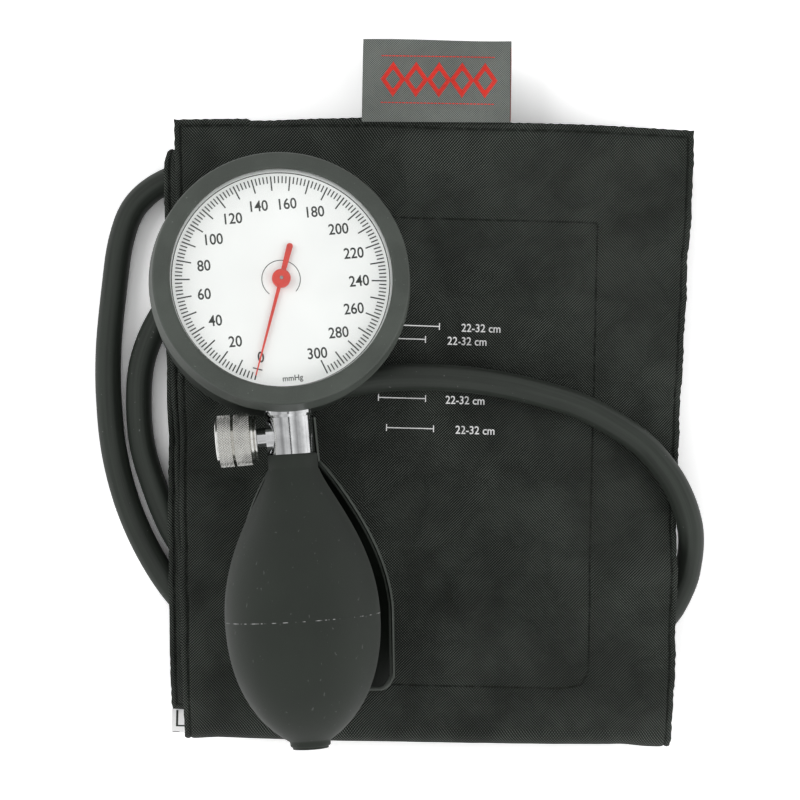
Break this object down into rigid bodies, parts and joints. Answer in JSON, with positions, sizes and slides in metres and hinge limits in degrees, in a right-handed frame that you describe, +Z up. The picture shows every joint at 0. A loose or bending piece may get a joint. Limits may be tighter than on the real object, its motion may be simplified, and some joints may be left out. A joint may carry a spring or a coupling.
{
  "type": "aneroid sphygmomanometer",
  "caption": "Palm-type blood pressure gauge with a round dial, rubber bulb, knurled release valve, hand spoon, rubber hose and a folded nylon arm cuff.",
  "frame": {"origin": "middle of the plan of the laid-down object, on the table surface it rests on", "axes": "+Z up from the table, +Y along the cuff towards the hem with the woven tag, +X to the right as seen from above"},
  "size_m": [0.1707, 0.196, 0.0672],
  "materials": {
    "case_black": "satin moulded, fine grain",
    "ring_grey": "satin dark grey, soft edge",
    "lens_clear": "clear polished plastic",
    "dial_white": "white print lacquer",
    "ring_white": "matt white",
    "pointer_red": "red lacquer",
    "movement_brass": "machined",
    "capsule_bronze": "pressed bronze sheet",
    "spring_steel": "drawn and turned",
    "chrome": "polished plating, knurled grip",
    "bulb_rubber": "matt moulded, fine grain",
    "valve_rubber": "matt",
    "hose_rubber": "satin extruded",
    "spoon_black": "satin black lacquer",
    "cuff_nylon": "black woven nylon with a light sheen",
    "bladder_film": "thin matt sheet",
    "hook_and_loop": "black pile and hooks",
    "tag_grey": "grey woven ribbon with a red woven pattern",
    "care_white": "white printed ribbon"
  },
  "bodies": {
    "root": {"gauge_case": "case_black", "bezel_ring": "ring_grey", "lens": "lens_clear", "dial_ring": "ring_white", "dial_plate": "dial_white", "hairspring": "spring_steel", "capsule_lower": "capsule_bronze", "capsule_upper": "capsule_bronze", "base_plate": "movement_brass", "top_plate": "movement_brass", "plate_pillars": "movement_brass", "movement_screws": "spring_steel", "air_manifold": "movement_brass", "hose_elbow": "case_black", "valve_body": "chrome", "neck_seal": "valve_rubber", "release_bonnet": "chrome", "check_seat": "movement_brass", "check_cage": "movement_brass", "bulb": "bulb_rubber", "intake_body": "case_black", "intake_screen": "spring_steel", "spoon": "spoon_black", "spoon_screw": "spring_steel", "hose": "hose_rubber", "bladder_port": "case_black", "bladder": "bladder_film", "cuff_outer_ply": "cuff_nylon", "cuff_inner_ply": "cuff_nylon", "loop_patch": "hook_and_loop", "hook_patch": "hook_and_loop", "woven_label": "tag_grey", "care_label": "care_white"},
    "pointer": {"pointer": "pointer_red", "pinion_arbor": "movement_brass"},
    "sector": {"sector_gear": "movement_brass"},
    "rocker": {"rocker": "movement_brass"},
    "push_pin": {"push_pin": "spring_steel"},
    "release_needle": {"release_needle": "spring_steel"},
    "release_knob": {"release_spindle": "spring_steel", "release_knob": "chrome"},
    "check_disc": {"check_disc": "valve_rubber"},
    "intake_disc": {"intake_disc": "valve_rubber"}
  },
  "joints": [
    {"name": "pointer_turn", "type": "hinge", "parent": "root", "child": "pointer", "pos_m": [-0.03877, 0.03014, 0.05108], "axis": [-0.1029, -0.1675, -0.9805], "range_deg": [0, 320]},
    {"name": "sector_swing", "type": "hinge", "parent": "root", "child": "sector", "pos_m": [-0.0561, 0.03313, 0.04729], "axis": [0.1029, 0.1675, 0.9805], "range_deg": [0, 40], "stiffness_Nm_per_rad": 0.0002, "springref_deg": -20.05},
    {"name": "rocker_tilt", "type": "hinge", "parent": "root", "child": "rocker", "pos_m": [-0.04926, 0.03137, 0.04045], "axis": [-0.9888, -0.09, 0.1191], "range_deg": [0, 21]},
    {"name": "pin_lift", "type": "slide", "parent": "root", "child": "push_pin", "axis": [0.1029, 0.1675, 0.9805], "range_m": [0, 0.00146]},
    {"name": "release_travel", "type": "slide", "parent": "root", "child": "release_needle", "axis": [-0.9962, -0.0872, 0], "range_m": [0, 0.00106]},
    {"name": "release_turn", "type": "hinge", "parent": "release_needle", "child": "release_knob", "pos_m": [-0.0484, -0.01232, 0.0457], "axis": [-0.9962, -0.0872, 0], "range_deg": [0, 540]},
    {"name": "check_valve_lift", "type": "slide", "parent": "root", "child": "check_disc", "axis": [-0.0872, 0.9962, 0], "range_m": [0, 0.0008]},
    {"name": "intake_valve_lift", "type": "slide", "parent": "root", "child": "intake_disc", "axis": [-0.064, 0.9978, -0.0175], "range_m": [0, 0.0008]}
  ],
  "couplings": [
    {"joint": "pointer_turn", "follows": "sector_swing", "ratio": 8},
    {"joint": "rocker_tilt", "follows": "sector_swing", "ratio": 0.525},
    {"joint": "pin_lift", "follows": "sector_swing", "m_per_rad": 0.0020912},
    {"joint": "release_travel", "follows": "release_turn", "m_per_rad": 0.00011141}
  ]
}
